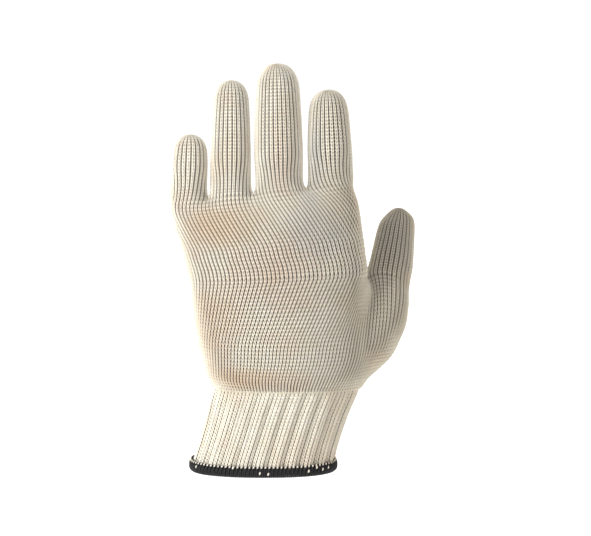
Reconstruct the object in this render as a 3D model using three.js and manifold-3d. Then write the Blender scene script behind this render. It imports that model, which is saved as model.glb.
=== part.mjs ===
// A seamless knitted cotton work glove for the left hand, in the form that it has when it is worn.
// Millimetres. +Z runs from the cuff's mouth to the fingertips, -Y is the back of the hand, +Y the palm
// side, and +X the thumb side. The origin is the centre of the cuff's mouth, where the wrist comes in.
// Every piece is the space between an outer loft and the same loft taken in by the thickness of the knit.

import * as THREE from "three";
import { mergeVertices } from "three/addons/utils/BufferGeometryUtils.js";
import Module from "manifold-3d";

const wasm = await Module();
wasm.setup();

// Driving dimensions: the knit, and the gap that neighbouring pieces keep.
const knitWall = 2.0;
const pieceGap = 0.35;

// The cuff, from the mouth to the wrist fold, its ribs, and the overlocked thread round its edge.
const cuffHeight = 46;
const cuffWidth = 81;
const cuffDepth = 47;
const ribCount = 23;
const ribDepth = 1.1;
const hemHeight = 6.6;
const hemThread = 0.9;

// The hand, from the wrist fold to the line where the four fingers part, which drops to the little finger.
const palmHeight = 104.4;
const palmBreadth = 101;
const palmDepth = 36;
const fingerLineTilt = 5.3;
const fingerLineLeft = 50.2;

// The fingers. Lengths run from the line where they part to the tip. A positive lean is towards the thumb,
// curl is how far the tip has turned to the palm side, and taper is the share of the width left at the tip.
const FINGERS = [
  { name: "little_finger", length: 36.2, width: 21.2, depth: 20.5, lean: 1.5, curl: 16, taper: 0.84 },
  { name: "ring_finger", length: 63.4, width: 23.4, depth: 22, lean: 0, curl: 14, taper: 0.8 },
  { name: "middle_finger", length: 69.6, width: 28, depth: 25, lean: -1, curl: 9, taper: 0.84 },
  { name: "index_finger", length: 53.2, width: 26.4, depth: 23.5, lean: -1.5, curl: 12, taper: 0.76 },
];
const fingerSeat = -1.5;
const fingerRootDepth = 22;
const fingerRootFan = 0.4;
const fingerRootNarrowing = 0.72;

// The thumb, from its root inside the hand to its tip, and where along it the machine takes over its tube.
const thumbLength = 113;
const thumbWidth = 24.5;
const thumbDepth = 24.5;
const thumbRoot = { side: 35.5, palmward: 6, above: 4 };
const thumbSplit = 0.55;

// How finely the lofts are cut into facets.
const FINGER_SIDES = 16;
const PALM_SIDES = 48;
const POINTS_PER_RIB = 4;
const TUBE_STEPS = 7;
const DOME_STEPS = 4;

const radians = THREE.MathUtils.degToRad;
const wristHeight = cuffHeight;
const fingerLineHeight = wristHeight + palmHeight;
const tiltSlope = Math.tan(radians(fingerLineTilt));

// The cuff's outline. up is a share of cuffHeight, left and right are shares of cuffWidth, back and palm of
// cuffDepth, and rib is the share of ribDepth. The knit flares to its hem and narrows below the wrist fold.
const CUFF_SECTIONS = [
  { up: 0, left: 0.485, right: 0.472, back: 0.5, palm: 0.5, rib: 0 },
  { up: 0.2, left: 0.452, right: 0.487, back: 0.486, palm: 0.486, rib: 0.3 },
  { up: 0.4, left: 0.413, right: 0.521, back: 0.475, palm: 0.475, rib: 1 },
  { up: 0.7, left: 0.37, right: 0.581, back: 0.455, palm: 0.46, rib: 1 },
  { up: 0.9, left: 0.349, right: 0.637, back: 0.445, palm: 0.46, rib: 0.8 },
  { up: 1, left: 0.346, right: 0.672, back: 0.455, palm: 0.475, rib: 0.15 },
];

// The hand's outline above the cuff. up is a share of palmHeight, left and right are shares of palmBreadth,
// back and palm of palmDepth. The first row is the fullness that gathers over the cuff's tighter ribs.
const PALM_SECTIONS = [
  { up: 0.05, left: 0.312, right: 0.575, back: 0.665, palm: 0.665 },
  { up: 0.1, left: 0.322, right: 0.59, back: 0.65, palm: 0.68 },
  { up: 0.18, left: 0.342, right: 0.59, back: 0.62, palm: 0.7 },
  { up: 0.3, left: 0.364, right: 0.588, back: 0.575, palm: 0.69 },
  { up: 0.44, left: 0.382, right: 0.58, back: 0.54, palm: 0.64 },
  { up: 0.58, left: 0.398, right: 0.565, back: 0.515, palm: 0.575 },
  { up: 0.72, left: 0.432, right: 0.545, back: 0.495, palm: 0.51 },
  { up: 0.84, left: 0.472, right: 0.53, back: 0.47, palm: 0.45 },
  { up: 0.92, left: 0.49, right: 0.517, back: 0.43, palm: 0.39 },
  { up: 0.975, left: 0.492, right: 0.505, back: 0.35, palm: 0.3 },
  { up: 1.005, left: 0.486, right: 0.494, back: 0.22, palm: 0.17 },
];

// The thumb, a length of it to a row. length is a share of thumbLength. spread turns it away from the fingers
// and swing turns it to the palm side, both from +Z. width and depth are shares of the thumb's, at its end.
const THUMB_LENGTHS = [
  { length: 0, spread: 0, swing: 0, width: 1.15, depth: 1.3 },
  { length: 0.3, spread: 42, swing: 12, width: 1.58, depth: 1.54 },
  { length: 0.22, spread: 25, swing: 20, width: 1.14, depth: 1.22 },
  { length: 0.22, spread: 13, swing: 38, width: 0.98, depth: 1.02 },
  { length: 0.26, spread: 10, swing: 36, width: 0.78, depth: 0.8 },
];

// Curves and lofts

// A closed oval section. A squareness of 2 is an ellipse, and more is fuller at the corners.
class Oval extends THREE.Curve {
  constructor(centre, across, through, squareness) {
    super();
    Object.assign(this, { centre, across, through, squareness });
  }

  getPoint(t, target = new THREE.Vector3()) {
    const share = (value) => Math.sign(value) * Math.abs(value) ** (2 / this.squareness);
    return target
      .copy(this.centre)
      .addScaledVector(this.across, share(Math.cos(2 * Math.PI * t)))
      .addScaledVector(this.through, share(Math.sin(2 * Math.PI * t)));
  }

  // Evenly spaced points, without the last one, which repeats the first.
  ring(sides) {
    return this.getSpacedPoints(sides).slice(0, sides);
  }
}

// A closed solid through rings of as many points each, with a flat end at the first and the last.
function loft(rings) {
  const sides = rings[0].length;
  const points = rings.flat();
  const middleOf = (ring) => ring.reduce((sum, p) => sum.add(p), new THREE.Vector3()).divideScalar(sides);
  points.push(middleOf(rings[0]), middleOf(rings[rings.length - 1]));
  const [first, last] = [points.length - 2, points.length - 1];
  const top = (rings.length - 1) * sides;
  const faces = [];
  for (let i = 0; i < sides; i++) {
    const next = (i + 1) % sides;
    for (let row = 0; row < rings.length - 1; row++) {
      const [a, b] = [row * sides + i, row * sides + next];
      faces.push(a, b, b + sides, a, b + sides, a + sides);
    }
    faces.push(first, next, i, last, top + i, top + next);
  }
  const geometry = new THREE.BufferGeometry().setFromPoints(points);
  geometry.setIndex(faces);
  return solid(geometry);
}

function solid(geometry) {
  const merged = mergeVertices(geometry, 1e-4);
  const made = new wasm.Manifold(
    new wasm.Mesh({
      numProp: 3,
      vertProperties: merged.getAttribute("position").array,
      triVerts: new Uint32Array(merged.index.array),
    }),
  );
  if (made.volume() < 0) throw new Error("a loft is inside out");
  return made;
}

function geometryOf(body) {
  const mesh = body.getMesh();
  return new THREE.BufferGeometry()
    .setAttribute("position", new THREE.BufferAttribute(mesh.vertProperties, 3))
    .setIndex(new THREE.BufferAttribute(mesh.triVerts, 1));
}

const joined = (bodies) => bodies.reduce((sum, body) => sum.add(body));

// Everything on the far side of a plane, as a block far larger than the glove.
function beyond(point, direction) {
  const size = 1000;
  const block = new THREE.BoxGeometry(size, size, size).translate(0, 0, size / 2);
  block.deleteAttribute("normal");
  block.deleteAttribute("uv");
  const turn = new THREE.Quaternion().setFromUnitVectors(new THREE.Vector3(0, 0, 1), direction);
  block.applyQuaternion(turn).translate(point.x, point.y, point.z);
  return solid(block);
}

// A unit vector that leans from +Z by a spread to the thumb side and a swing to the palm side.
function leaning(spread, swing) {
  return new THREE.Vector3(Math.tan(radians(spread)), Math.tan(radians(swing)), 1).normalize();
}

// The cuff, the hem and the hand, from their tables

// Smooth values between a table's rows, in millimetres from the origin.
function outlineOf(rows, { from, height, width, depth, start = [] }) {
  const scale = { left: -width, right: width, back: -depth, palm: depth, rib: ribDepth };
  const edges = Object.keys(scale);
  const values = rows.flatMap((row) => edges.map((edge) => (row[edge] ?? 0) * scale[edge]));
  const heights = rows.map((row) => from + row.up * height);
  if (start.length > 0) heights.unshift(from);
  const smooth = new THREE.CubicInterpolant(heights, [...start, ...values], edges.length);
  return { heights, at: (z) => [...smooth.evaluate(z)] };
}

const cuffOutline = outlineOf(CUFF_SECTIONS, {
  from: 0,
  height: cuffHeight,
  width: cuffWidth,
  depth: cuffDepth,
});
const palmOutline = outlineOf(PALM_SECTIONS, {
  from: wristHeight,
  height: palmHeight,
  width: palmBreadth,
  depth: palmDepth,
  start: cuffOutline.at(wristHeight),
});

// The oval at one height, grown by a distance all round. Its level tips towards the finger line.
function bodyRing(outline, z, grow, sides) {
  const squareness = 2.3;
  const [left, right, back, palm, rib] = outline.at(z);
  const tip = tiltSlope * THREE.MathUtils.smoothstep(z, wristHeight, fingerLineHeight);
  const across = (right - left) / 2 + grow;
  const centre = new THREE.Vector3((left + right) / 2, (back + palm) / 2, z + (tip * (left + right)) / 2);
  const sideways = new THREE.Vector3(across, 0, tip * across);
  const through = new THREE.Vector3(0, (palm - back) / 2 + grow, 0);
  const ring = new Oval(centre, sideways, through, squareness).ring(sides);
  return ring.map((point, i) => {
    const outward = point.clone().sub(centre).divide(new THREE.Vector3(across, through.y, 1)).setZ(0);
    const wave = Math.cos((2 * Math.PI * i * ribCount) / sides) / 2;
    return point.addScaledVector(outward.normalize(), rib * wave);
  });
}

function bodyLoft(outline, heights, grow, sides) {
  return loft(heights.map((z) => bodyRing(outline, z, grow, sides)));
}

const cuffSides = ribCount * POINTS_PER_RIB;
const hemSides = cuffSides / 2;
const hemReach = pieceGap + hemThread;

function cuffPiece() {
  const bottom = hemThread + pieceGap;
  const heights = [bottom, ...cuffOutline.heights.slice(1, -1), wristHeight - pieceGap];
  const through = [0, ...cuffOutline.heights.slice(1)];
  const outer = bodyLoft(cuffOutline, heights, 0, cuffSides);
  return outer.subtract(bodyLoft(cuffOutline, through, -knitWall, cuffSides));
}

// The thread wraps the edge of the knit: it stands outside it, under it and inside it.
function hemPiece() {
  const above = cuffOutline.heights[1];
  const band = (low, high, grow) => bodyLoft(cuffOutline, [low, high], grow, hemSides);
  const core = bodyLoft(cuffOutline, [0, above, 2 * above], -knitWall - pieceGap, hemSides);
  const mouth = bodyLoft(cuffOutline, [-hemThread, 0, above], -knitWall - hemReach, hemSides);
  const slot = band(hemThread, above, pieceGap).subtract(core);
  return band(0, hemHeight, hemReach).subtract(slot).subtract(mouth);
}

function palmLoft(inset) {
  const [wrist, ...heights] = palmOutline.heights;
  const low = inset > 0 ? [wrist - knitWall, wrist] : [wrist];
  return bodyLoft(palmOutline, [...low, ...heights.map((z) => z - inset)], -inset, PALM_SIDES);
}

// The fingers and the thumb

// A tube along an axis with a domed tip, whose width and depth are given by the share of its length.
function tube({ axis, length, widthAt, depthAt, inset }) {
  const end = length - inset;
  const dome = widthAt(1) / 2 - inset;
  const stations = [];
  for (let i = 0; i <= TUBE_STEPS; i++) {
    stations.push({ along: ((end - dome) * i) / TUBE_STEPS, scale: 1 });
  }
  for (let i = 1; i <= DOME_STEPS; i++) {
    const angle = ((i - 0.4) * Math.PI) / 2 / DOME_STEPS;
    stations.push({ along: end - dome + dome * Math.sin(angle), scale: Math.cos(angle) });
  }
  const squareness = 2.1;
  const rings = stations.map(({ along, scale }) => {
    const share = Math.min(along / length, 1);
    const forward = axis.getTangentAt(share);
    const across = new THREE.Vector3(1, 0, 0).addScaledVector(forward, -forward.x).normalize();
    const through = new THREE.Vector3().crossVectors(forward, across);
    across.multiplyScalar((widthAt(share) / 2 - inset) * scale);
    through.multiplyScalar((depthAt(share) / 2 - inset) * scale);
    return new Oval(axis.getPointAt(share), across, through, squareness).ring(FINGER_SIDES);
  });
  return loft(rings);
}

// A finger's root starts narrower, well inside the hand, and its free length narrows to the tip.
function fingerTubes({ length, width, depth, lean, curl, taper }, base) {
  const fan = (fingerRootFan * fingerRootDepth * (palmBreadth * 0.1 - base.x)) / palmHeight;
  const root = base.clone().add(new THREE.Vector3(fan, 0, -fingerRootDepth));
  const middle = base.clone().addScaledVector(leaning(lean, curl / 3), length / 2);
  const tip = middle.clone().addScaledVector(leaning(lean, curl), length / 2);
  const axis = new THREE.CatmullRomCurve3([root, base, middle, tip]);
  const whole = axis.getLength();
  const sized = (size) => (share) => {
    const free = (share * whole - fingerRootDepth) / (whole - fingerRootDepth);
    const inside = Math.min(share * whole, fingerRootDepth) / fingerRootDepth;
    const rooted = THREE.MathUtils.lerp(fingerRootNarrowing, 1, inside);
    return size * rooted * (1 - (1 - taper) * Math.max(free, 0) ** 1.5);
  };
  const make = (inset) =>
    tube({ axis, length: whole, widthAt: sized(width), depthAt: sized(depth), inset });
  return { outer: make(0), inner: make(knitWall) };
}

// The middle of each finger's root: side by side on the line where they part, a gap from its neighbour.
function fingerBases() {
  let edge = -fingerLineLeft;
  return FINGERS.map(({ width }) => {
    const x = edge + width / 2;
    edge += width + pieceGap;
    return new THREE.Vector3(x, fingerSeat, fingerLineHeight + tiltSlope * x);
  });
}

function thumbTubes() {
  const root = new THREE.Vector3(thumbRoot.side, thumbRoot.palmward, wristHeight + thumbRoot.above);
  const joints = [];
  const ends = [];
  let along = 0;
  for (const { length, spread, swing } of THUMB_LENGTHS) {
    const from = joints[joints.length - 1] ?? root;
    joints.push(from.clone().addScaledVector(leaning(spread, swing), length * thumbLength));
    along += length;
    ends.push(along);
  }
  const axis = new THREE.CatmullRomCurve3(joints);
  const sized = (edge, size) => {
    const smooth = new THREE.CubicInterpolant(ends, THUMB_LENGTHS.map((row) => row[edge]), 1);
    return (share) => smooth.evaluate(share)[0] * size;
  };
  const widthAt = sized("width", thumbWidth);
  const depthAt = sized("depth", thumbDepth);
  const make = (inset) => tube({ axis, length: axis.getLength(), widthAt, depthAt, inset });
  return {
    outer: make(0),
    inner: make(knitWall),
    split: axis.getPointAt(thumbSplit),
    out: axis.getTangentAt(thumbSplit),
  };
}

// The pieces

const up = leaning(-fingerLineTilt, 0);
const fingerLine = new THREE.Vector3(0, 0, fingerLineHeight);
const bases = fingerBases();
const fingers = FINGERS.map((finger, index) => fingerTubes(finger, bases[index]));
const thumb = thumbTubes();

// The half-space past a line where the machine takes over, and the same from a gap before it.
const past = (point, direction, gap) => beyond(point.clone().addScaledVector(direction, -gap), direction);
const aboveFingerLine = past(fingerLine, up, 0);
const aboveFingerGap = past(fingerLine, up, pieceGap);
const aboveThumbSplit = past(thumb.split, thumb.out, 0);
const aboveThumbGap = past(thumb.split, thumb.out, pieceGap);
const aboveWrist = past(new THREE.Vector3(0, 0, wristHeight), new THREE.Vector3(0, 0, 1), 0);

function palmPiece() {
  const outer = joined([
    palmLoft(0).subtract(aboveFingerGap),
    ...fingers.map((finger) => finger.outer.subtract(aboveFingerGap)),
    thumb.outer.subtract(aboveThumbGap).intersect(aboveWrist),
  ]);
  const inner = joined([palmLoft(knitWall), ...fingers.map((finger) => finger.inner), thumb.inner]);
  return outer.subtract(inner);
}

function mesh(name, body, colour) {
  const material = new THREE.MeshStandardMaterial({ color: colour, roughness: 0.95, metalness: 0 });
  const made = new THREE.Mesh(geometryOf(body), material);
  made.name = name;
  return made;
}

const creamCotton = 0xe9e0cf;
const blackThread = 0x17171a;
const glove = new THREE.Group();
glove.add(mesh("hem", hemPiece(), blackThread));
glove.add(mesh("cuff", cuffPiece(), creamCotton));
glove.add(mesh("palm", palmPiece(), creamCotton));
FINGERS.forEach(({ name }, index) => {
  const { outer, inner } = fingers[index];
  glove.add(mesh(name, outer.subtract(inner).intersect(aboveFingerLine), creamCotton));
});
glove.add(mesh("thumb", thumb.outer.subtract(thumb.inner).intersect(aboveThumbSplit), creamCotton));

export default glove;
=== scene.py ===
# %% [markdown]
# A knitted cotton work glove, worn, seen from the back of the hand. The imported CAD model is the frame: it
# gives each tube of the glove its true size and place, and this script dresses it.
# The real glove is knitted in one go. A machine knits five tubes, runs them together into a hand, and
# ends with a ribbed cuff, whose edge is overlocked. The lesson goes the same way: the skin of the hand,
# tube by tube, then one stitch, then thousands of copies of it laid over the skin, and then the hem.

import math

import bmesh
import bpy
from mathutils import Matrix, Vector
from mathutils.bvhtree import BVHTree


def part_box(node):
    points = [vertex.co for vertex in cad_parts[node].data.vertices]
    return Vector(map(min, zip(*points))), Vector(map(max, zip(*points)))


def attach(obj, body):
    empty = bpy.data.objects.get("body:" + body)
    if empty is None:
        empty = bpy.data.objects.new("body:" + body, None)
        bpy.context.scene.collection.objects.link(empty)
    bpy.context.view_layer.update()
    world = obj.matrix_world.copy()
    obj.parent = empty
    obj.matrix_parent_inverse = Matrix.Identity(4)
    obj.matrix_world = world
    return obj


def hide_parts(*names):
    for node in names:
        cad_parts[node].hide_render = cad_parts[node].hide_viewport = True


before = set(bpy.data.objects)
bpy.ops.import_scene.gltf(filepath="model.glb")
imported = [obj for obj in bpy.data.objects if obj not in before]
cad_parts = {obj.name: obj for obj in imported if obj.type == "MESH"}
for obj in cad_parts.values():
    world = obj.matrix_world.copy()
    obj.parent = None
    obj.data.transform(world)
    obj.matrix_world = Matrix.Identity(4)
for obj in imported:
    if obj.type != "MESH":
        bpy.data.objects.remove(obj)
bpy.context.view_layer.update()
MM = 0.001
print("CAD nodes:", ", ".join(sorted(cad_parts)))

# %% [markdown]
# Every step works on one object at a time, and a fresh import leaves the CAD nodes selected. An operator
# acts on all that is selected, so this helper clears the selection before it picks a piece.


# %% Pick a piece
def only(*pieces):
    """Selects these pieces and no other, and makes the first of them active."""
    bpy.ops.object.select_all(action="DESELECT")
    for piece in pieces:
        piece.select_set(True)
    bpy.context.view_layer.objects.active = pieces[0]
    return pieces[0]


def modify(piece, kind, **settings):
    """Adds a modifier with its settings and applies it."""
    only(piece)
    bpy.ops.object.modifier_add(type=kind)
    modifier = piece.modifiers[-1]
    for name, value in settings.items():
        setattr(modifier, name, value)
    bpy.ops.object.modifier_apply(modifier=modifier.name)


# %% [markdown]
# The glove's skin has to lie where the CAD solids have their outer walls. A ring of points is laid there
# by measuring: rays are cast inwards from all round, and what each one meets first is the outer wall.
# A shrinkwrap would need less code, but measured rings keep every edge of the mesh on a row or a column
# of stitches, and the knitting depends on that.

# %% Measure a section of the CAD
RAYS = 240
REACH = 90 * MM
UP = Vector((0, 0, 1))
PALMWARD = Vector((0, 1, 0))


def walls(node):
    """A node's faces, made ready for rays."""
    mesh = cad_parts[node].data
    points = [v.co.copy() for v in mesh.vertices]
    return BVHTree.FromPolygons(points, [list(p.vertices) for p in mesh.polygons])


def section(tree, centre, across, through):
    """Points round a section, from the left over the back of the hand to the right and back by the palm."""
    line = []
    for k in range(RAYS):
        turn = math.pi * (1 - 2 * k / RAYS)
        ray = across * math.cos(turn) - through * math.sin(turn)
        hit = tree.ray_cast(centre + ray * REACH, -ray, REACH)[0]
        line.append(hit or (line[-1] if line else centre.copy()))
    return line


def shared_out(line, shares):
    """Points at these shares of a line's length."""
    lengths = [0.0]
    for a, b in zip(line, line[1:]):
        lengths.append(lengths[-1] + (b - a).length)
    points = []
    at = 0
    for share in shares:
        want = share * lengths[-1]
        while at < len(line) - 2 and lengths[at + 1] < want:
            at += 1
        span = lengths[at + 1] - lengths[at]
        points.append(line[at].lerp(line[at + 1], (want - lengths[at]) / span if span else 0))
    return points


def ring(tree, centre, across, through, front, back, turn=0):
    """One ring of skin. front and back are the columns' shares of each half, and turn is how many rays
    the columns have drifted to the thumb side over the back of the hand."""
    line = section(tree, centre, across, through)
    line = line[turn:] + line[:turn]
    line.append(line[0])
    half = RAYS // 2
    return shared_out(line[: half + 1], front) + shared_out(line[half:], back)[1:-1]


def pushed(line, amounts):
    """Moves the points of a level line out of the tube, each by its amount."""
    out = []
    for k, point in enumerate(line):
        along = line[(k + 1) % len(line)] - line[k - 1]
        out.append(point + along.cross(UP).normalized() * amounts[k])
    return out


def middle_of(points):
    return sum(points, Vector()) / len(points)


def mean_step(ring_a, ring_b):
    return sum((a - b).length for a, b in zip(ring_a, ring_b)) / len(ring_a)


# %% [markdown]
# A tube of knitting starts as a circle and grows by extruding its open edge, one row of faces at a time.
# Each vertex carries a mark, the number of its column, and an extruded vertex inherits it. So after each
# extrusion the new ring is laid on its measured section, and each new face gets its place on the knitting
# chart, which is its UV map: across it count the wales, the columns of stitches, and up it the courses.
# A UV map is looked up fast only between 0 and 1, so one stitch is a small unit of it.

# %% Grow a skin ring by ring
CHART = "chart"
UNIT = 1 / 1200


def start_tube(name, points):
    """A circle with its vertices on these points, open and in edit mode, ready to grow."""
    bpy.ops.object.select_all(action="DESELECT")
    bpy.ops.mesh.primitive_circle_add(vertices=len(points), radius=MM, fill_type="NOTHING")
    tube = bpy.context.object
    tube.name = name
    tube.data.uv_layers.new(name=CHART)
    for mark in ("front", "back"):
        tube.data.attributes.new(mark, "INT", "POINT")
    bpy.ops.object.mode_set(mode="EDIT")
    bpy.context.tool_settings.mesh_select_mode = (False, True, False)
    bm = bmesh.from_edit_mesh(tube.data)
    front = bm.verts.layers.int["front"]
    back = bm.verts.layers.int["back"]
    for column, v in enumerate(bm.verts):
        v[front] = column
        v[back] = -1
        v.co = points[column]
    bmesh.update_edit_mesh(tube.data)
    return tube


def cells(wales, base=0):
    """The chart's cells between neighbouring columns: their left and right wale, and a base for courses."""
    return [(left, right, base) for left, right in zip(wales, wales[1:])]


def grow(tube, points, row_cells, courses, mark="front", closed=True):
    """Extrudes the marked open edge by one row, lays it on the points and charts its new faces."""
    bpy.ops.mesh.select_all(action="DESELECT")
    bm = bmesh.from_edit_mesh(tube.data)
    column = bm.verts.layers.int[mark]
    last = len(points) - 1
    for edge in bm.edges:
        a, b = sorted(v[column] for v in edge.verts)
        if a >= 0 and (b - a == 1 or (closed and a == 0 and b == last)):
            edge.select_set(True)
    bmesh.update_edit_mesh(tube.data)
    bpy.ops.mesh.extrude_region_move()
    bm = bmesh.from_edit_mesh(tube.data)
    column = bm.verts.layers.int[mark]
    chart = bm.loops.layers.uv[CHART]
    for face in bm.faces:
        if not any(v.select for v in face.verts):
            continue
        ends = sorted({v[column] for v in face.verts})
        wraps = closed and ends == [0, last]
        left, right, base = row_cells[last if wraps else ends[0]]
        for loop in face.loops:
            wale = left if (loop.vert[column] == ends[0]) != wraps else right
            course = base + courses[1] if loop.vert.select else base + courses[0]
            loop[chart].uv = (wale * UNIT, course * UNIT)
    for v in bm.verts:
        if v.select:
            v.co = points[v[column]]
        else:
            v[column] = -1
    bmesh.update_edit_mesh(tube.data)


def course_marks(rings, course):
    """How many courses lie below each ring, scaled so that a whole number of them fits in all."""
    steps = [mean_step(a, b) for a, b in zip(rings, rings[1:])]
    pitch = round(sum(steps) / course) / sum(steps)
    return [sum(steps[:k]) * pitch for k in range(len(rings))]


def grow_rows(tube, rings, row_cells, course):
    """Grows a closed tube through rings, and returns how many courses it has."""
    marks = course_marks(rings, course)
    for points, below, above in zip(rings[1:], marks, marks[1:]):
        grow(tube, points, row_cells, (below, above))
    return round(marks[-1])


# %% [markdown]
# The four fingers and the thumb are measured along bent axes. An axis runs from the middle of a tube's
# open root, through the middle of its half-way section, to its tip. The rings stand evenly up the
# straight part and crowd over the dome, where the real machine draws the last loops together.

# %% Knit the five tubes
COLUMNS = 6
FINGER_COURSE = 1.86 * MM
TUBES = {
    "little_finger": {"wales": 11, "rows": 5, "dome": 9.0 * MM},
    "ring_finger": {"wales": 13, "rows": 9, "dome": 9.5 * MM},
    "middle_finger": {"wales": 16, "rows": 10, "dome": 11.5 * MM},
    "index_finger": {"wales": 14, "rows": 7, "dome": 10.5 * MM},
    "thumb": {"wales": 14, "rows": 7, "dome": 10.0 * MM},
}
DOME_TURNS = (0.0, 24.0, 46.0, 64.0, 80.0)
THUMB_FIRST = 200
THUMB_SIDE = Vector((0.91, 0.4, 0))
EVEN = [i / COLUMNS for i in range(COLUMNS + 1)]


def line_slope():
    """The slope of the line where the fingers part, from the lowest left corners of two fingers."""
    a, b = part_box("little_finger")[0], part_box("index_finger")[0]
    return (b.z - a.z) / (b.x - a.x)


SLOPE = line_slope()


def open_end(node):
    """The middle of a tube's flat open rim, and the way out of it into the tube."""
    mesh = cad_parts[node].data
    low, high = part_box(node)
    rough = (high - low) * 0.5
    rough = Vector((0, rough.y if node == "thumb" else 0, rough.z)).normalized()
    rim = [p for p in mesh.polygons if p.normal.dot(rough) < -0.85 and p.center.z < (low.z + high.z) / 2]
    out = -sum((p.normal * p.area for p in rim), Vector()).normalized()
    return middle_of([mesh.vertices[i].co for p in rim for i in p.vertices]), out


def frame_across(forward, side):
    """Two directions square to an axis: to the thumb side, and to the palm side."""
    across = (side - forward * side.dot(forward)).normalized()
    return across, forward.cross(across)


def tube_rings(node):
    """The rings of a finger or the thumb, from its open root to its tip."""
    tree = walls(node)
    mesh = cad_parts[node].data
    root, out = open_end(node)
    tip = max((v.co for v in mesh.vertices), key=lambda co: (co - root).dot(out)).copy()
    side = THUMB_SIDE if node == "thumb" else Vector((1, 0, SLOPE)).normalized()
    middle = middle_of(section(tree, (root + tip) / 2, *frame_across((tip - root).normalized(), side)))
    bend = middle - (root + tip) / 2
    length = (tip - root).length
    straight = 1 - TUBES[node]["dome"] / length
    rows = TUBES[node]["rows"]
    shares = [straight * i / rows for i in range(rows)]
    shares += [straight + (1 - straight) * math.sin(math.radians(turn)) for turn in DOME_TURNS]
    rings = []
    for share in shares:
        centre = root.lerp(tip, share) + bend * 4 * share * (1 - share)
        forward = ((tip - root) + bend * 4 * (1 - 2 * share)).normalized()
        forward = out.lerp(forward, min(1, share * 4)).normalized()
        if share == 0:
            centre = centre + out * 0.2 * MM
        rings.append(ring(tree, centre, *frame_across(forward, side), EVEN, EVEN))
    rings.append([tip] * (2 * COLUMNS))
    return rings


def knit_tube(node, first_wale):
    """The skin of a finger or the thumb, charted from its first wale on."""
    rings = tube_rings(node)
    front = [first_wale + TUBES[node]["wales"] * i / COLUMNS for i in range(COLUMNS + 1)]
    tube = start_tube(node + "_skin", rings[0])
    tube_cells = cells(front) + cells([-wale for wale in reversed(front)])
    courses = grow_rows(tube, rings, tube_cells, FINGER_COURSE)
    TUBES[node].update(first=first_wale, cells=tube_cells, rings=rings, courses=courses)
    bpy.ops.mesh.select_all(action="SELECT")
    bpy.ops.mesh.remove_doubles(threshold=0.01 * MM)
    bpy.ops.object.mode_set(mode="OBJECT")
    print(node, "has", 2 * TUBES[node]["wales"], "wales and", TUBES[node]["courses"], "courses")
    return tube


tubes = {}
first_wale = 0
for node in TUBES:
    tubes[node] = knit_tube(node, THUMB_FIRST if node == "thumb" else first_wale)
    first_wale += TUBES[node]["wales"]


# %% [markdown]
# The machine then takes the four fingers side by side and knits on across all of them. Neighbours share
# one loop at the crotch. Here the two side vertices of neighbours merge into one, and the open edge that
# is left is a front chain and a back chain. Each is extruded on its own, and their ends are merged, which
# closes the tube of the hand. Just below a crotch, the rows ease from the edge to the measured sections,
# on a quarter of a circle, so the web is round.

# %% Join the fingers into the hand
FINGERS = list(TUBES)[:4]
PALM_COURSE = 2.16 * MM
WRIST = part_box("palm")[0].z
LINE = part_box("index_finger")[0].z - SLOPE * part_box("index_finger")[0].x
WEB_DEPTHS = (1.2, 3.5, 7.0, 12.0)
WEB_RADIUS = 8 * MM
DRIFT = 9
palm_walls = walls("palm")


def number_edge(piece, points, mark):
    """Numbers the vertices that lie at these points, as the columns of the rows to come."""
    bm = bmesh.from_edit_mesh(piece.data)
    column = bm.verts.layers.int[mark]
    for v in bm.verts:
        v[column] = -1
    for number, point in enumerate(points):
        min(bm.verts, key=lambda v: (v.co - point).length)[column] = number
    bmesh.update_edit_mesh(piece.data)


def merge_at(piece, *points):
    """Merges the vertices at these points in their middle."""
    bpy.ops.mesh.select_all(action="DESELECT")
    bpy.context.tool_settings.mesh_select_mode = (True, False, False)
    bm = bmesh.from_edit_mesh(piece.data)
    for point in points:
        min(bm.verts, key=lambda v: (v.co - point).length).select_set(True)
    bmesh.update_edit_mesh(piece.data)
    bpy.ops.mesh.merge(type="CENTER")
    bpy.context.tool_settings.mesh_select_mode = (False, True, False)


def grow_chains(piece, front, back, row, row_cells, courses):
    """Extrudes a front and a back chain to one closed row, and joins their ends."""
    half = len(row) // 2
    number_edge(piece, front, "front")
    number_edge(piece, back, "back")
    grow(piece, row[: half + 1], row_cells[:half], courses, "front", closed=False)
    grow(piece, row[half:] + row[:1], row_cells[half:], courses, "back", closed=False)
    bpy.ops.mesh.select_all(action="SELECT")
    bpy.ops.mesh.remove_doubles(threshold=0.01 * MM)


def tilt(z):
    """The rows of the hand lie level at the wrist and lean with the finger line at the top."""
    share = (z - WRIST) / (LINE - WRIST)
    return SLOPE * share * share * (3 - 2 * share)


def hand_ring(z, shares, x=5, lean=0.0, turn=0):
    """A ring of the hand at a height, cast towards x and turned a little to the thumb by lean."""
    centre = Vector((x * MM, 3 * MM, z))
    across = Vector((1, lean, tilt(z))).normalized()
    return ring(palm_walls, centre, across, Vector((-lean, 1, 0)).normalized(), *shares, turn)


def drift(depth):
    """Worn, the glove is a little twisted: its wales drift to the thumb side on their way down."""
    return round(DRIFT * math.sin(min(1, depth / (42 * MM)) * math.pi / 2))


def finger_shares():
    """The columns' shares of the front of the hand, with as many for a finger as its wales ask."""
    shares = [0.0]
    total = sum(TUBES[finger]["wales"] for finger in FINGERS)
    for finger in FINGERS:
        shares += [shares[-1] + TUBES[finger]["wales"] * (i + 1) / COLUMNS / total for i in range(COLUMNS)]
    return shares


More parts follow.
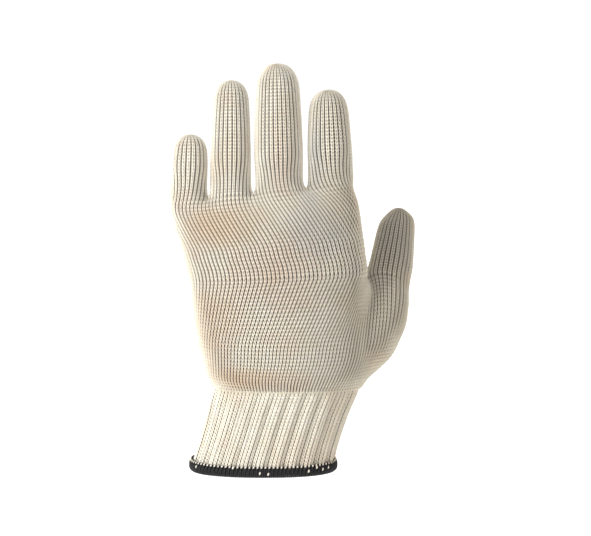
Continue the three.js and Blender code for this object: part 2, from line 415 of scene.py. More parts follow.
hand = only(*[tubes[finger] for finger in FINGERS])
bpy.ops.object.join()
hand.name = "hand_skin"
bpy.ops.object.mode_set(mode="EDIT")
for left, right in zip(FINGERS, FINGERS[1:]):
    a, b = TUBES[left]["rings"][0][COLUMNS], TUBES[right]["rings"][0][0]
    merge_at(hand, a, b)
    TUBES[left]["rings"][0][COLUMNS] = TUBES[right]["rings"][0][0] = (a + b) / 2

roots = [TUBES[finger]["rings"][0] for finger in FINGERS]
front_chain = [p for root in roots for p in root[:COLUMNS]] + [roots[-1][COLUMNS]]
back_chain = [p for root in reversed(roots) for p in root[COLUMNS:]] + [roots[0][0]]
edge = front_chain + back_chain[1:-1]
front_shares = finger_shares()
back_shares = [1 - share for share in reversed(front_shares)]
HAND_WALES = sum(TUBES[finger]["wales"] for finger in FINGERS)
front_wales = [HAND_WALES * share for share in front_shares]
back_wales = [HAND_WALES * (share - 1) for share in back_shares]
hand_cells = cells(front_wales) + cells(back_wales)

rows = []
for depth in WEB_DEPTHS:
    down = Vector((0, 0, -depth * MM))
    ease = math.sqrt(1 - (1 - min(1, depth * MM / WEB_RADIUS)) ** 2)
    wall = hand_ring(LINE + down.z, (front_shares, back_shares), turn=drift(-down.z))
    rows.append([(a + down).lerp(b, ease) for a, b in zip(edge, wall)])
for k in range(1, 7):
    depth = (12 + k * 5.2) * MM
    rows.append(hand_ring(LINE - depth, (front_shares, back_shares), turn=drift(depth)))

marks = course_marks([edge] + rows, PALM_COURSE)
grow_chains(hand, front_chain, back_chain, rows[0], hand_cells, (0, -marks[1]))
number_edge(hand, rows[0], "front")
for row, above, below in zip(rows[1:], marks[1:], marks[2:]):
    grow(hand, row, hand_cells, (-above, -below))
HAND_COURSES = round(marks[-1])
bpy.ops.object.mode_set(mode="OBJECT")
print("the hand has", 2 * HAND_WALES, "wales and", HAND_COURSES, "courses down to the thumb")


# %% [markdown]
# The thumb is knitted on its own and taken in lower down, in the same way: one shared loop at its crotch,
# a front chain and a back chain, and rows that lie on the measured walls. These walls make a deep valley
# between hand and thumb, so the points are first laid straight from the edge down to a full section, and
# then pressed on the wall from outside.

# %% Take in the thumb
THUMB_CROTCH = Vector((57.5, 10.5, 103.0)) * MM
THUMB_LEVEL = 105 * MM
THUMB_WALES = TUBES["thumb"]["wales"]
THUMB_DEPTHS = (1.5, 4.0, 8.0, 13.0, 18.0, 24.0, 31.0)
THUMB_WEB = 10 * MM
FRONT_VALLEY = len(FINGERS) * COLUMNS
PALM_VALLEY = FRONT_VALLEY + 2 * COLUMNS
HAND_REACH = 5
OUTSIDE, INSIDE = 6 * MM, 8 * MM
FULL_SECTION = 72 * MM
LOWER_LEVELS = (66.5, 61, 56, 51.5, 48, 46.3)
LEAN = 0.08
VALLEYS = {
    FRONT_VALLEY: (
        (57.8, 7.5, 102.4), (58.3, 3.5, 100.5), (58.8, 0, 97),
        (58.5, -3, 92), (58, -5.5, 87), (57.5, -7, 80),
    ),
    PALM_VALLEY: (
        (57, 13.5, 102.4), (55.5, 17, 100.5), (53.5, 19, 97),
        (52, 20.5, 92), (50.5, 21.5, 87), (49, 22.5, 80),
    ),
}


def drawn_to(row, number, point, pulls):
    """A row whose vertex lies at a point, with its neighbours drawn after it."""
    row = list(row)
    for offset, pull in enumerate(pulls):
        for k in {number - offset, number + offset}:
            row[k] = row[k].lerp(point, pull)
    return row


def spaced_to(row, number, point):
    """A row whose vertex lies at a point in a valley, with the columns on its side of the hand spaced out
    evenly to it."""
    row = list(row)
    way = -1 if number == FRONT_VALLEY else 1
    far = row[number + way * HAND_REACH]
    for k in range(HAND_REACH):
        row[number + way * k] = point.lerp(far, k / HAND_REACH)
    row[number - way] = row[number - way].lerp((point + row[number - 2 * way]) / 2, 0.6)
    return row


def pressed(line, way_down):
    """The points of a line, laid on the palm's wall from outside."""
    out = []
    for k, point in enumerate(line):
        along = line[(k + 1) % len(line)] - line[k - 1]
        normal = way_down[k].cross(along).normalized()
        hit = palm_walls.ray_cast(point + normal * OUTSIDE, -normal, OUTSIDE + INSIDE)[0]
        out.append(hit or point)
    return out


crotch_row = hand_ring(THUMB_LEVEL, (front_shares, back_shares), turn=DRIFT)
crotch_row = drawn_to(crotch_row, FRONT_VALLEY, THUMB_CROTCH, (1, 0.5, 0.2))
only(hand)
bpy.ops.object.mode_set(mode="EDIT")
grow(hand, crotch_row, hand_cells, (-HAND_COURSES, -HAND_COURSES - 1))
HAND_COURSES += 1
bpy.ops.object.mode_set(mode="OBJECT")

hand = only(hand, tubes["thumb"])
bpy.ops.object.join()
bpy.ops.object.mode_set(mode="EDIT")
root = TUBES["thumb"]["rings"][0]
merge_at(hand, root[0], THUMB_CROTCH)
crotch = (root[0] + THUMB_CROTCH) / 2
front_chain = crotch_row[:FRONT_VALLEY] + [crotch] + root[1 : COLUMNS + 1]
back_chain = root[COLUMNS:] + [crotch] + crotch_row[FRONT_VALLEY + 1 :] + crotch_row[:1]
edge = front_chain + back_chain[1:-1]

per_side = HAND_WALES + THUMB_WALES
wide_front = [share * HAND_WALES / per_side for share in front_shares]
wide_front += [(HAND_WALES + THUMB_WALES * (i + 1) / COLUMNS) / per_side for i in range(COLUMNS)]
wide_back = [1 - share for share in reversed(wide_front)]
wide_cells = cells(front_wales, -HAND_COURSES) + TUBES["thumb"]["cells"]
wide_cells += cells(back_wales, -HAND_COURSES)
wide = (wide_front, wide_back)

full = hand_ring(FULL_SECTION, wide, x=15, lean=LEAN)
rows = []
for number, depth in enumerate(THUMB_DEPTHS):
    share = depth / THUMB_DEPTHS[-1]
    ease = math.sqrt(1 - (1 - min(1, depth * MM / THUMB_WEB)) ** 2)
    straight = [a.lerp(b, share) for a, b in zip(edge, full)]
    for column, valley in VALLEYS.items():
        if number < len(valley):
            straight = spaced_to(straight, column, Vector(valley[number]) * MM)
    wall = pressed(straight, [b - a for a, b in zip(edge, full)])
    rows.append([a.lerp(b, ease) for a, b in zip(straight, wall)])
    for column in VALLEYS:
        rows[-1][column] = straight[column]
rows += [hand_ring(z * MM, wide, x=12, lean=LEAN) for z in LOWER_LEVELS]

marks = course_marks([edge] + rows, PALM_COURSE)
grow_chains(hand, front_chain, back_chain, rows[0], wide_cells, (0, -marks[1]))
number_edge(hand, rows[0], "front")
for row, above, below in zip(rows[1:], marks[1:], marks[2:]):
    grow(hand, row, wide_cells, (-above, -below))
LOWER_COURSES = round(marks[-1])
print("the thumb is taken in", round((THUMB_CROTCH.z - WRIST) / MM), "mm above the wrist")

# %% [markdown]
# Where the fingers and the thumb run into the hand, the rows still turn sharply. On the real glove the
# loops give way and round such a turn off. So the vertices round the finger line, apart from those on the
# glove's narrow sides, and the ones round the root of the thumb are smoothed a few times.

# %% Ease the fingers into the hand
EASED = (LINE - 24 * MM, LINE + 14 * MM)
NARROW = 5 * MM
THUMB_EASED = 7 * MM
THUMB_OUTER = 61 * MM
bpy.ops.mesh.select_all(action="DESELECT")
bpy.context.tool_settings.mesh_select_mode = (True, False, False)
bm = bmesh.from_edit_mesh(hand.data)
for v in bm.verts:
    level = v.co.z - SLOPE * v.co.x
    v.select_set(EASED[0] < level < EASED[1] and abs(v.co.y) > NARROW)
bmesh.update_edit_mesh(hand.data)
bpy.ops.mesh.vertices_smooth(factor=0.5, repeat=8)

thumb_middle = middle_of(TUBES["thumb"]["rings"][0])
thumb_way = (middle_of(TUBES["thumb"]["rings"][2]) - thumb_middle).normalized()
bpy.ops.mesh.select_all(action="DESELECT")
bm = bmesh.from_edit_mesh(hand.data)
for v in bm.verts:
    v.select_set(abs((v.co - thumb_middle).dot(thumb_way)) < THUMB_EASED and v.co.x > THUMB_OUTER)
bmesh.update_edit_mesh(hand.data)
bpy.ops.mesh.vertices_smooth(factor=0.5, repeat=2)
bpy.context.tool_settings.mesh_select_mode = (False, True, False)
print("eased", round((EASED[1] - EASED[0]) / MM), "mm round the finger line")

# %% [markdown]
# The elastic cuff draws the hand in, so the last courses of the hand bulge over the cuff's upper end.
# The edge grows on by three rows, each given as how far in and down it goes and how many courses it
# takes. They round the bulge and bring the edge under the top of the cuff, so no gap shows.

# %% Turn the lower edge in
FOLD = ((0.4, 1.0, 0.5), (1.7, 1.7, 0.8), (3.2, 1.3, 0.7))
for inward, drop, course in FOLD:
    folded = [p - UP * drop * MM for p in pushed(rows[-1], [-inward * MM] * len(rows[-1]))]
    grow(hand, folded, wide_cells, (-LOWER_COURSES, -LOWER_COURSES - course))
    LOWER_COURSES += course
bpy.ops.mesh.select_all(action="SELECT")
bpy.ops.mesh.normals_make_consistent(inside=False)
bpy.ops.object.mode_set(mode="OBJECT")
bpy.ops.object.shade_smooth()
modify(hand, "SUBSURF", levels=2, render_levels=2, uv_smooth="NONE")
LOWER_COURSES = round(LOWER_COURSES)
print("below the thumb's crotch it has", 2 * per_side, "wales and", LOWER_COURSES, "courses")


# %% [markdown]
# The cuff is knitted over elastic, which draws it into upright ribs. In the CAD they are a plain wave.
# Here the measured outline is smoothed first, and each rib then gets four columns of its own: a deep
# groove, and a round back of three wales. So the stitches sit on the ribs the way they do in the real
# cuff. Under the edge of the hand the ribs fade out and the cuff is drawn in.

# %% Knit the cuff
RIBS = 23
RIB_SHAPE = (-2.2, 0.3, 0.6, 0.3)
RIB_WALES = 4
CUFF_COURSE = 1.9 * MM
CUFF_HEIGHTS = (1.5, 5, 10, 16, 22, 28, 34, 39, 43, 46)
CUFF_TOP = 45.2
RIBS_END, RIBS_FADE = 47, 7
DRAWN_IN = -1.3
cuff_walls = walls("cuff")


def outline(tree, z, count):
    """An even outline of a section, with no ribs."""
    share = z / WRIST
    line = section(tree, Vector((12 * MM * share, 0, z)), Vector((1, 0, 0)), PALMWARD)
    line = [middle_of([line[(k + j) % RAYS] for j in range(-5, 6)]) for k in range(RAYS)]
    line.append(line[0])
    return shared_out(line, [k / count for k in range(count)])


rings = []
for z in CUFF_HEIGHTS:
    full = min(1, (RIBS_END - z) / RIBS_FADE)
    ribs = [(RIB_SHAPE[k % 4] * full + DRAWN_IN * (1 - full)) * MM for k in range(4 * RIBS)]
    rings.append(pushed(outline(cuff_walls, min(z, CUFF_TOP) * MM, 4 * RIBS), ribs))
for points, z in zip(rings, CUFF_HEIGHTS):
    for point in points:
        point.z = z * MM
middle = middle_of(rings[-1])
rings.append([middle + (p - middle) * 0.96 + UP * 2.5 * MM for p in rings[-1]])
rings.append([middle + (p - middle) * 0.94 + UP * 3.0 * MM for p in rings[-1]])
cuff = start_tube("cuff_skin", rings[0])
cuff_wales = [RIB_WALES * k / 4 for k in range(4 * RIBS + 1)]
CUFF_COURSES = grow_rows(cuff, rings, cells(cuff_wales), CUFF_COURSE)
bpy.ops.mesh.select_all(action="SELECT")
bpy.ops.mesh.normals_make_consistent(inside=False)
bpy.ops.object.mode_set(mode="OBJECT")
bpy.ops.object.shade_smooth()
modify(cuff, "SUBSURF", levels=1, render_levels=1, uv_smooth="NONE")
print("the cuff has", RIBS * RIB_WALES, "wales and", CUFF_COURSES, "courses")

# %% [markdown]
# The edge of the cuff is overlocked with black elastic thread, which wraps it inside and out. Its base is
# one more tube, which goes down the outside, round the edge and up the inside.

# %% Wrap the hem
HEM_COLUMNS = 120
PAIRS = 95
HEM_PROFILE = (
    (6.3, 0.35), (5.6, 0.95), (3.6, 1.25), (1.6, 1.3), (0.5, 0.9), (0.1, 0.0),
    (0.4, -1.3), (1.6, -1.9), (3.6, -2.0), (5.6, -1.8), (6.3, -1.1),
)
hem_line = outline(cuff_walls, 3.5 * MM, HEM_COLUMNS)
rings = []
for z, out in HEM_PROFILE:
    ring_points = pushed(hem_line, [(out + 0.35) * MM] * HEM_COLUMNS)
    for point in ring_points:
        point.z = z * MM
    rings.append(ring_points)
hem = start_tube("hem_base", rings[0])
hem_lengths = [0.0]
for a, b in zip(HEM_PROFILE, HEM_PROFILE[1:]):
    hem_lengths.append(hem_lengths[-1] + math.dist(a, b))
for points, a, b in zip(rings[1:], hem_lengths, hem_lengths[1:]):
    grow(hem, points, cells([PAIRS * k / HEM_COLUMNS for k in range(HEM_COLUMNS + 1)]), (-a, -b))
bpy.ops.mesh.select_all(action="SELECT")
bpy.ops.mesh.normals_make_consistent(inside=False)
bpy.ops.object.mode_set(mode="OBJECT")
bpy.ops.object.shade_smooth()
print("the hem is", round(hem_lengths[-1], 1), "mm round its edge")

# %% [markdown]
# Plain knitting is one stitch, repeated. What shows of it is a V of two legs, and because this machine
# starts at the fingertips, its V stands on its head. A leg is a grain of rice: it comes out of the stitch
# above, swells, turns sideways and dives under the one below. It starts as the coarsest sphere that
# there is, with three rings between two poles, and every ring is put in its place along the leg. Across
# and along, the unit is one stitch. Its height is true.

# %% Model one stitch
SINK = 0.8 * MM
AWAY = 50
LEG = (
    {"across": 0.39, "along": -0.30, "height": -0.10, "width": 0.08, "thick": 0.10},
    {"across": 0.33, "along": -0.02, "height": 0.28, "width": 0.115, "thick": 0.30},
    {"across": 0.19, "along": 0.45, "height": 0.74, "width": 0.15, "thick": 0.42},
    {"across": 0.12, "along": 0.95, "height": 0.80, "width": 0.125, "thick": 0.36},
    {"across": 0.07, "along": 1.28, "height": 0.50, "width": 0.10, "thick": 0.10},
)
CUFF_LEG = [{**place, "across": 1.1 * place["across"], "width": 1.35 * place["width"]} for place in LEG]


def put_level(piece, level, place):
    """Scales one ring or pole of a lying sphere and moves it to its place. It waits there well away, so
    that it isn't picked again with the next one."""
    bpy.ops.mesh.select_all(action="DESELECT")
    bm = bmesh.from_edit_mesh(piece.data)
    for v in bm.verts:
        v.select_set(abs(v.co.y - level) < 0.01)
    bmesh.update_edit_mesh(piece.data)
    radius = math.sqrt(max(0.0, 1 - level * level)) or 1
    scale = (place["width"] / radius, 1, place["thick"] * MM / radius)
    bpy.ops.transform.resize(value=scale, center_override=(0, level, 0))
    along = place["along"] - level + AWAY
    bpy.ops.transform.translate(value=(place["across"], along, place["height"] * MM))


def grain(name, places):
    """A thread's short length: a sphere of four sides, every ring and pole of it in its place."""
    bpy.ops.object.select_all(action="DESELECT")
    rings = len(places) - 1
    lying = (-math.pi / 2, 0, 0)
    bpy.ops.mesh.primitive_uv_sphere_add(segments=4, ring_count=rings, radius=1, rotation=lying)
    piece = bpy.context.object
    piece.name = name
    bpy.ops.object.transform_apply(rotation=True)
    bpy.ops.object.mode_set(mode="EDIT")
    bpy.context.tool_settings.mesh_select_mode = (True, False, False)
    for k, place in enumerate(places):
        put_level(piece, -math.cos(math.pi * k / rings), place)
    bpy.ops.mesh.select_all(action="SELECT")
    bpy.ops.transform.translate(value=(0, -AWAY, 0))
    bpy.ops.object.mode_set(mode="OBJECT")
    bpy.ops.object.shade_smooth()
    return piece


stitch = grain("stitch", LEG)
modify(stitch, "MIRROR", use_mirror_merge=False)
cuff_stitch = grain("cuff stitch", CUFF_LEG)
modify(cuff_stitch, "MIRROR", use_mirror_merge=False)
print("one stitch has", sum(len(p.vertices) - 2 for p in stitch.data.polygons), "triangles")

# %% [markdown]
# A swatch is a flat field of stitches, as wide and as high as one part of the glove's chart. Wrapping it
# is a matter of looking up: each vertex asks the skin's chart where its wale and its course lie and which
# way is out, and goes there. Geometry Nodes has a node for that question, Sample UV Surface.

# %% Write the wrapping
CELL_EDGE = 0.002
TIP_HEIGHT = 0.3


def add_node(tree, kind, settings=None, **links):
    """Adds one node, with its settings and what is linked to or set on its inputs."""
    node = tree.nodes.new(kind)
    for name, value in (settings or {}).items():
        setattr(node, name, value)
    for name, value in links.items():
        key = int(name[1:]) if name[0] == "i" and name[1:].isdigit() else name.replace("_", " ")
        if isinstance(value, bpy.types.NodeSocket):
            tree.links.new(value, node.inputs[key])
        else:
            node.inputs[key].default_value = value
    return node


def wrapping(skin, wales, rows, tip, beyond):
    """Nodes that wrap a swatch on these wales and rows of a skin, and on as many rows beyond them as it
    may reach into. Before a tip the stitches flatten, and what lies off the chart there is left out."""
    tree = bpy.data.node_groups.new("wrap on " + skin.name, "GeometryNodeTree")
    tree.interface.new_socket("Geometry", in_out="INPUT", socket_type="NodeSocketGeometry")
    tree.interface.new_socket("Geometry", in_out="OUTPUT", socket_type="NodeSocketGeometry")
    start = add_node(tree, "NodeGroupInput")
    shape = add_node(tree, "GeometryNodeObjectInfo", {"transform_space": "RELATIVE"}, Object=skin)
    chart = add_node(tree, "GeometryNodeInputNamedAttribute", {"data_type": "FLOAT_VECTOR"}, Name=CHART)
    out = add_node(tree, "GeometryNodeInputNamedAttribute", {"data_type": "FLOAT_VECTOR"}, Name="outward")
    here = add_node(tree, "GeometryNodeInputPosition")
    flat = add_node(tree, "ShaderNodeSeparateXYZ", i0=here.outputs[0])
    low, high = wales[0] + CELL_EDGE, wales[1] - CELL_EDGE
    wale = add_node(tree, "ShaderNodeClamp", i0=flat.outputs[0], i1=low, i2=high)
    low, high = rows[0] - beyond[0] + CELL_EDGE, rows[1] + beyond[1] - CELL_EDGE
    course = add_node(tree, "ShaderNodeClamp", i0=flat.outputs[1], i1=low, i2=high)
    cell = add_node(tree, "ShaderNodeCombineXYZ", i0=wale.outputs[0], i1=course.outputs[0])
    at = add_node(tree, "ShaderNodeVectorMath", {"operation": "SCALE"}, i0=cell.outputs[0], Scale=UNIT)
    found = []
    for value in (here.outputs[0], out.outputs[0]):
        found.append(add_node(
            tree, "GeometryNodeSampleUVSurface", {"data_type": "FLOAT_VECTOR"},
            Mesh=shape.outputs["Geometry"], Value=value, UV_Map=chart.outputs[0], Sample_UV=at.outputs[0],
        ))
    way = add_node(tree, "ShaderNodeVectorMath", {"operation": "NORMALIZE"}, i0=found[1].outputs[0])
    flatter = add_node(
        tree, "ShaderNodeMapRange",
        i0=flat.outputs[1], i1=rows[1] - tip, i2=rows[1], i3=1.0, i4=TIP_HEIGHT,
    )
    height = add_node(
        tree, "ShaderNodeMath", {"operation": "MULTIPLY"}, i0=flat.outputs[2], i1=flatter.outputs[0],
    )
    lift = add_node(
        tree, "ShaderNodeVectorMath", {"operation": "SCALE"}, i0=way.outputs[0], Scale=height.outputs[0],
    )
    place = add_node(tree, "ShaderNodeVectorMath", i0=found[0].outputs[0], i1=lift.outputs[0])
    on_chart = found[0].outputs["Is Valid"]
    off = add_node(tree, "FunctionNodeBooleanMath", {"operation": "NOT"}, i0=on_chart)
    kept = add_node(
        tree, "GeometryNodeDeleteGeometry", {"domain": "POINT"},
        Geometry=start.outputs[0], Selection=off.outputs[0],
    )
    moved = add_node(
        tree, "GeometryNodeSetPosition", Geometry=kept.outputs[0], Position=place.outputs[0],
    )
    add_node(tree, "NodeGroupOutput", i0=moved.outputs[0])
    return tree


def keep_outward(skin):
    """Stores which way is out at each point of a skin, and sinks it to where the stitches lie on it."""
    ways = skin.data.attributes.new("outward", "FLOAT_VECTOR", "POINT")
    ways.data.foreach_set("vector", [c for v in skin.data.vertices for c in v.normal])
    modify(skin, "DISPLACE", strength=-SINK, mid_level=0)


def swatch(name, model, skin, wales, rows, tip=0.001, fill=None, beyond=(0, 0)):
    """Copies of one model over wales and rows of a skin's chart, wrapped on the skin. fill is the first
    row and the number of rows that get copies, where it isn't all of them."""
    first, along = fill or (rows[0], rows[1] - rows[0])
    across = wales[1] - wales[0]
    only(model)
    bpy.ops.object.duplicate()
    field = bpy.context.object
    field.name = name
    bpy.ops.object.mode_set(mode="EDIT")
    bpy.ops.mesh.select_all(action="SELECT")
    bpy.ops.transform.translate(value=(wales[0] + 0.5, first, 0))
    bpy.ops.object.mode_set(mode="OBJECT")
    steps = {"use_relative_offset": False, "use_constant_offset": True}
    modify(field, "ARRAY", count=across, constant_offset_displace=(1, 0, 0), **steps)
    modify(field, "ARRAY", count=along, constant_offset_displace=(0, 1, 0), **steps)
    modify(field, "NODES", node_group=wrapping(skin, wales, rows, tip, beyond))
    print(name, "has", across * along, "copies of the", model.name)
    return field


# %% [markdown]
# Each finger and the thumb get a swatch on the front and one on the palm side, and the hand has the same.
# The swatches share one chart and meet wale to wale. A stitch's tail may reach into the next part of the
# chart, so no seam shows where a finger runs into the hand.

# %% Knit the stitches on
keep_outward(hand)
keep_outward(cuff)
knits = {}
for node, tube in TUBES.items():
    first, last = tube["first"], tube["first"] + tube["wales"]
    rows = (-LOWER_COURSES if node == "thumb" else 0, tube["courses"])
    beyond = (0 if node == "thumb" else 1, 0)
    front = swatch(node + "_knit", stitch, hand, (first, last), rows, tip=4, beyond=beyond)
    back = swatch(node + "_palm_knit", stitch, hand, (-last, -first), rows, tip=4, beyond=beyond)
    knits[node] = only(front, back)
    bpy.ops.object.join()
rows = (-HAND_COURSES - LOWER_COURSES, 0)
knits["back"] = swatch("back_of_hand_knit", stitch, hand, (0, HAND_WALES), rows, beyond=(0, 1))
knits["palm"] = swatch("palm_knit", stitch, hand, (-HAND_WALES, 0), rows, beyond=(0, 1))
knits["cuff"] = swatch("cuff_knit", cuff_stitch, cuff, (0, RIBS * RIB_WALES), (0, CUFF_COURSES))
bpy.data.objects.remove(cuff_stitch)
bpy.data.objects.remove(stitch)

# %% [markdown]
# The overlock is a second swatch. Each thread of it starts on the outside of the cuff, slants down to the
# edge, goes round it and up the inside, and it is one grain again, only with more rings, so that it can
# bend. Every other thread starts a little lower, which gives the zigzag where black meets white. White
# yarn shows between the threads here and there, so a few short grains of cotton lie on top of them. Each
# is given by its thread and by how many millimetres down the outside it lies.

# %% Overlock the edge
FLECKS = (
    (16.4, -1.4), (23.1, -4.0), (25.2, -4.4), (35.3, -3.6), (37.5, -2.2), (39.2, -3.5), (41.0, -3.1),
    (6.0, -3.0), (55.0, -2.5), (63.0, -4.0), (64.2, -3.2), (78.0, -2.2), (88.0, -4.4),
)


def thread(name, middle, top, end, rings):
    """A long grain that slants a little on its way from its upper end round the edge."""
    places = []
    for k in range(rings + 1):
        share = (1 - math.cos(math.pi * k / rings)) / 2
        body = max(0.0, math.sin(math.pi * k / rings)) ** 0.4
        places.append({
            "across": middle - 0.5 + 0.8 * share, "along": end + (top - end) * share,
            "height": 1.05 * body, "width": 0.05 + 0.2 * body, "thick": 0.08 + 0.42 * body,
        })
    return grain(name, places)


hem_rows = (-math.floor(hem_lengths[-1]), 0)
keep_outward(hem)
long_thread = thread("long thread", -0.25, -0.1, -10.5, 12)
short_thread = thread("short thread", 0.25, -2.0, -9.5, 12)
pair = only(long_thread, short_thread)
bpy.ops.object.join()
overlock = swatch("overlock_threads", pair, hem, (0, PAIRS), hem_rows, fill=(0, 1))
bpy.data.objects.remove(pair)

fleck = grain("fleck", [
    {"across": -0.12, "along": -0.9, "height": 1.0, "width": 0.1, "thick": 0.1},
    {"across": -0.07, "along": -0.6, "height": 1.35, "width": 0.18, "thick": 0.22},
    {"across": 0.0, "along": 0.0, "height": 1.5, "width": 0.22, "thick": 0.26},
    {"across": 0.07, "along": 0.6, "height": 1.35, "width": 0.18, "thick": 0.22},
    {"across": 0.12, "along": 0.9, "height": 1.0, "width": 0.1, "thick": 0.1},
])
copies = []
for at in FLECKS:
    only(fleck)
    bpy.ops.object.duplicate()
    bpy.ops.transform.translate(value=(*at, 0))
    bpy.ops.object.transform_apply(location=True)
    copies.append(bpy.context.object)
loose = only(*copies)
bpy.ops.object.join()
modify(loose, "NODES", node_group=wrapping(hem, (0, PAIRS), hem_rows, 0.001, (0, 0)))
only(fleck)
bpy.ops.transform.translate(value=(0.0, -1.1, -0.35 * MM))
bpy.ops.object.transform_apply(location=True)
edge_row = swatch("edge", fleck, hem, (0, PAIRS), hem_rows, fill=(0, 1))
flecks = only(loose, edge_row)
bpy.ops.object.join()
flecks.name = "overlock_flecks"
bpy.data.objects.remove(fleck)
print("the hem has", 2 * PAIRS, "threads and", len(FLECKS), "white flecks")

# %% [markdown]
# Unbleached cotton is a warm off-white with no gloss: light sinks into its fuzz and comes back soft, so
# it gets a high roughness and a little sheen. It is never one colour. The string is spun from short
# waste fibres, so it changes a little from stitch to stitch, and there are tan patches at the knuckles and
# along the wrist fold. Grey-blue patches and a greyer thumb side are painted shade, and between the wales
# one looks down into the knit's lower layer, which is painted nearly dark as shade.
# The patterns have real sizes: thick and thin places in the yarn every 2.5 mm, patches of wear of about
# 22 mm, and tinted patches as wide, deep and high as listed. Cotton fibres are 0.02 mm thick, too fine for
# the picture, so their bumps are made 0.35 mm wide. The overlock is polyester: deep black, and smoother
# than cotton, so a lower roughness gives it a faint broad shine.

# %% Make the materials
SLUB_SIZE, WEAR_SIZE, FIBRE_SIZE = 2.5, 22, 0.35
FIBRE_HEIGHT = 0.15 * MM
YARN = "f3ede0"
INNER_LAYER = 1.1 * MM


def linear(code):
    """An sRGB hex colour in linear light."""
    parts = [int(code[i : i + 2], 16) / 255 for i in (0, 2, 4)]
    return [c / 12.92 if c <= 0.04045 else ((c + 0.055) / 1.055) ** 2.4 for c in parts] + [1.0]


def material(name, colour, roughness, sheen=0.0):
    """A new material, its node tree and its shader."""
    made = bpy.data.materials.new(name)
    made.use_nodes = True
    shader = made.node_tree.nodes["Principled BSDF"]
    shader.inputs["Base Color"].default_value = linear(colour)
    shader.inputs["Roughness"].default_value = roughness
    shader.inputs["Sheen Weight"].default_value = sheen
    return made, made.node_tree, shader


def mixed(tree, below, above, amount, way="MIX"):
    """A colour laid over another by an amount between 0 and 1."""
    node = add_node(tree, "ShaderNodeMix", {"data_type": "RGBA", "blend_type": way})
    for key, value in ((0, amount), (6, below), (7, above)):
        if isinstance(value, bpy.types.NodeSocket):
            tree.links.new(value, node.inputs[key])
        else:
            node.inputs[key].default_value = value
    return node.outputs[2]


def ramped(tree, value, low, high, least=0.0, most=1.0):
    """An amount that runs smoothly from least to most while a value runs from low to high."""
    settings = {"interpolation_type": "SMOOTHSTEP"}
    return add_node(
        tree, "ShaderNodeMapRange", settings, i0=value, i1=low, i2=high, i3=least, i4=most,
    ).outputs[0]


def part_of(tree, amount, most):
    return add_node(tree, "ShaderNodeMath", {"operation": "MULTIPLY"}, i0=amount, i1=most).outputs[0]


def patch_nearness(tree, place, centre, size):
    """How near a point is to the middle of a patch, which is so many millimetres wide, deep and high."""
    centre, size = Vector(centre) * MM, Vector(size) * MM
    away = add_node(tree, "ShaderNodeVectorMath", {"operation": "SUBTRACT"}, i0=place, i1=centre)
    shrunk = add_node(tree, "ShaderNodeVectorMath", {"operation": "DIVIDE"}, i0=away.outputs[0], i1=size)
    far = add_node(tree, "ShaderNodeVectorMath", {"operation": "LENGTH"}, i0=shrunk.outputs[0])
    return ramped(tree, far.outputs["Value"], 1.0, 0.2)


def noise(tree, place, size, detail=2.0):
    """A pattern of patches of about this size in millimetres."""
    scale = 1 / (size * MM)
    return add_node(tree, "ShaderNodeTexNoise", Vector=place, Scale=scale, Detail=detail).outputs[0]


def place_in(tree):
    return add_node(tree, "ShaderNodeTexCoord").outputs["Object"]


def side_of(tree, place):
    """How far to the thumb side a point lies."""
    return add_node(tree, "ShaderNodeSeparateXYZ", i0=place).outputs[0]


# Each patch: a colour, how much of it, a centre and a size in mm. The three grey-blue ones, on a finger, on
# the back of the hand beside it and on the thumb, are painted shade; the others are tan and brownish
# patches.
PATCHES_AND_PAINTED_SHADE = (
    ("e2bf98", 0.40, (-22, -14, 134), (34, 14, 16)),
    ("e0bc92", 0.45, (-8, -20, 53), (46, 14, 9)),
    ("e2c4a4", 0.30, (-25, -16, 85), (26, 14, 34)),
    ("b9bfca", 0.50, (26, -14, 170), (9, 14, 40)),
    ("bfc3cc", 0.40, (30, -16, 130), (26, 14, 20)),
    ("b4b9c2", 0.45, (72, 24, 124), (14, 26, 30)),
    ("d9b8a0", 0.30, (12, -14, 168), (12, 14, 34)),
    ("c9a890", 0.30, (10, -18, 108), (34, 14, 34)),
)


def cotton_yarn():
    """Off-white yarn with slubs, wear and tinted patches, some of them grey-blue painted shade, and painted
    shade that makes it a little greyer to the thumb side.
    """
    made, tree, shader = material("unbleached cotton yarn", YARN, 0.9, sheen=0.25)
    place = place_in(tree)
    slubs = ramped(tree, noise(tree, place, SLUB_SIZE), 0.35, 0.65)
    colour = mixed(tree, linear(YARN), linear("dcd3c0"), part_of(tree, slubs, 0.45))
    worn = ramped(tree, noise(tree, place, WEAR_SIZE), 0.4, 0.7)
    colour = mixed(tree, colour, linear("e4cfb4"), part_of(tree, worn, 0.35))
    for code, most, centre, size in PATCHES_AND_PAINTED_SHADE:
        colour = mixed(tree, colour, linear(code), part_of(tree, patch_nearness(tree, place, centre, size), most))
    # Painted shade: the yarn turns greyer and browner towards the thumb side, away from the key light.
    right = ramped(tree, side_of(tree, place), 0.0, 0.075, 0.0, 0.5)
    colour = mixed(tree, colour, linear("b5a68c"), right)
    tree.links.new(colour, shader.inputs["Base Color"])
    height = noise(tree, place, FIBRE_SIZE)
    fibres = add_node(tree, "ShaderNodeBump", Height=height, Strength=0.5, Distance=FIBRE_HEIGHT)
    tree.links.new(fibres.outputs[0], shader.inputs["Normal"])
    return made


def paint_knit_shade():
    """Painted shade for what one sees between the wales: nearly dark, and lighter where the light comes
    from.
    """
    made, tree, shader = material("painted shade in the knit", "3a2a25", 1.0)
    side = ramped(tree, side_of(tree, place_in(tree)), -0.05, 0.0)
    tree.links.new(mixed(tree, linear("5a4438"), linear("180e0d"), side), shader.inputs["Base Color"])
    return made


cotton = cotton_yarn()
painted_knit_shade = paint_knit_shade()
inside = material("inside of the knit", "d8ccb4", 0.95)[0]
black_thread = material("black polyester thread", "0c0c0e", 0.6)[0]


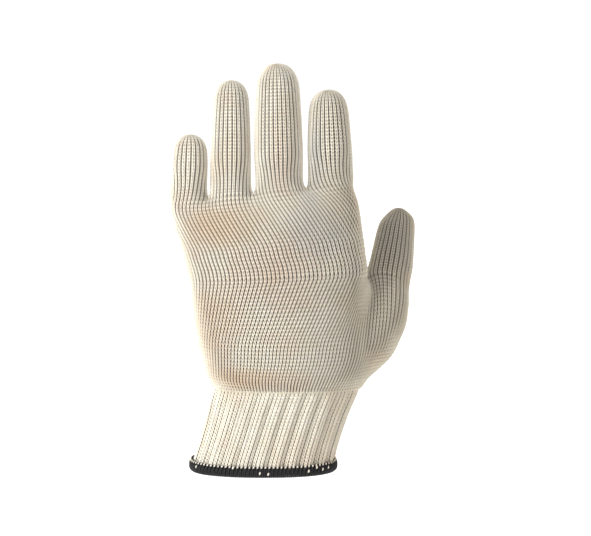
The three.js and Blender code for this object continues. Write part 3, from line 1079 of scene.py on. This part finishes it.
def dress(piece, *looks):
    piece.data.materials.clear()
    for look in looks:
        piece.data.materials.append(look)


# The skins wear the painted shade of the knit on the outside and the inside colour within.
dress(hand, painted_knit_shade, inside)
dress(cuff, painted_knit_shade, inside)
for skin in (hand, cuff):
    modify(skin, "SOLIDIFY", thickness=INNER_LAYER, offset=-1, material_offset=1, material_offset_rim=1)
dress(hem, black_thread)
dress(overlock, black_thread)
for piece in (flecks, *knits.values()):
    dress(piece, cotton)
# The count takes in the tan patches and the grey-blue patches of painted shade.
print("the yarn has", len(PATCHES_AND_PAINTED_SHADE), "stains")

# %% [markdown]
# Nothing on a knitted glove turns on a hinge, so every piece rides on the root. The skins and the hem
# stand in for the CAD nodes that they were measured on, and these nodes are hidden.

# %% Ride the frame
dressed = [hand, cuff, hem, overlock, flecks, *knits.values()]
for piece in dressed:
    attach(piece, "root")
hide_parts(*FINGERS, "thumb", "palm")
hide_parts("cuff")
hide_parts("hem")
print("the glove has", len(dressed), "dressed pieces")

# %% [markdown]
# The glove stands before white, as in a product picture: a pale floor that curves up behind it, one wide
# soft light from the upper left, and weaker ones that open the shadows on the right and on the palm side.
# The camera is a long lens a metre away, 6 degrees above the middle of the glove.

# %% Light it and look at it
FLOOR_SIZE, FLOOR_LEVEL, WALL = 6, -0.05, 3
AT_BACK = 2.9
LOOK_AT = (0.02, 0, 0.11)
bpy.ops.object.select_all(action="DESELECT")
bpy.ops.mesh.primitive_plane_add(size=FLOOR_SIZE, location=(0, 0, FLOOR_LEVEL))
floor = bpy.context.object
floor.name = "floor"
bpy.ops.object.transform_apply(location=True)
bpy.ops.object.mode_set(mode="EDIT")
bpy.context.tool_settings.mesh_select_mode = (False, True, False)
bpy.ops.mesh.select_all(action="DESELECT")
bm = bmesh.from_edit_mesh(floor.data)
for edge in bm.edges:
    edge.select_set(all(v.co.y > AT_BACK for v in edge.verts))
bmesh.update_edit_mesh(floor.data)
bpy.ops.mesh.extrude_region_move(TRANSFORM_OT_translate={"value": (0, 0, WALL)})
bpy.ops.mesh.select_all(action="DESELECT")
bm = bmesh.from_edit_mesh(floor.data)
for edge in bm.edges:
    edge.select_set(all(v.co.y > AT_BACK and v.co.z < 0 for v in edge.verts))
bmesh.update_edit_mesh(floor.data)
bpy.ops.mesh.bevel(offset=1.5, segments=16, affect="EDGES")
bpy.ops.object.mode_set(mode="OBJECT")
bpy.ops.object.shade_smooth()
pale, _, pale_shader = material("pale floor", "f7f7f5", 0.9)
pale_shader.inputs["Emission Color"].default_value = linear("ffffff")
pale_shader.inputs["Emission Strength"].default_value = 0.3
dress(floor, pale)


def soft_light(name, energy, size, place):
    """A square lamp of a size in metres that faces the glove."""
    bpy.ops.object.light_add(type="AREA", location=place)
    light = bpy.context.object
    light.name = name
    light.data.energy = energy
    light.data.size = size
    light.rotation_euler = (Vector(LOOK_AT) - Vector(place)).to_track_quat("-Z", "Y").to_euler()


soft_light("key", 26, 0.7, (-1.3, -0.9, 0.75))
soft_light("fill", 3, 1.2, (0.6, -1.6, 0.4))
soft_light("palm side", 16, 0.9, (0.7, 1.5, 0.8))
world = bpy.data.worlds.new("studio")
bpy.context.scene.world = world
world.use_nodes = True
sky = world.node_tree.nodes["Background"]
sky.inputs["Color"].default_value = linear("f6f6f6")
sky.inputs["Strength"].default_value = 0.7

ELEVATION = math.radians(6)
TARGET = Vector((0.0178, 0, 0.110))
bpy.ops.object.camera_add(location=TARGET + Vector((0, -math.cos(ELEVATION), math.sin(ELEVATION))))
camera = bpy.context.object
camera.rotation_euler = (TARGET - camera.location).to_track_quat("-Z", "Y").to_euler()
camera.data.lens = 112.7
bpy.context.scene.camera = camera
bpy.context.scene.view_settings.view_transform = "Standard"
print("the camera looks from", [round(c, 3) for c in camera.location])
